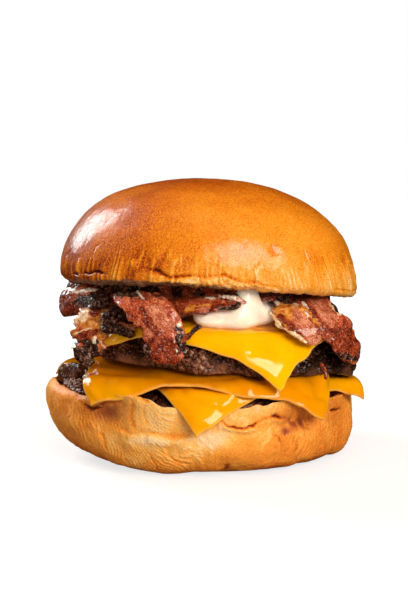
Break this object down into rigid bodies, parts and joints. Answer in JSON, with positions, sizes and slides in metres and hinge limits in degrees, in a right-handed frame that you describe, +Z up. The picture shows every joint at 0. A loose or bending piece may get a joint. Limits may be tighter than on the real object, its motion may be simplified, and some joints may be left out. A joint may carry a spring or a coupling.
{
  "type": "double cheeseburger",
  "caption": "Tall bacon cheeseburger in a glossy brioche bun, with grilled beef patties, melted cheese corners, crisp bacon and cream sauce.",
  "frame": {"origin": "on the flat face the burger rests on, under the middle of the bun", "axes": "+Z up; -Y to the open front, where the cheese corners hang; +X to the right seen from the front"},
  "size_m": [0.1083, 0.1096, 0.093],
  "materials": {
    "bun_crust": "glossy",
    "bun_crumb_crust": "satin",
    "beef": "moist",
    "cheese": "glossy",
    "bacon": "glossy",
    "sauce": "glossy"
  },
  "bodies": {
    "root": {"bun_heel": "bun_crumb_crust", "bun_crown": "bun_crust", "patty_lower": "beef", "patty_upper": "beef", "cheese_lower_under": "cheese", "cheese_lower_over": "cheese", "cheese_upper": "cheese", "sauce": "sauce", "bacon_front": "bacon", "bacon_right_wide": "bacon", "bacon_middle": "bacon", "bacon_right_fatty": "bacon", "bacon_left_curl": "bacon", "bacon_left_fatty": "bacon", "bacon_left_dark": "bacon", "bacon_back": "bacon"}
  },
  "joints": []
}
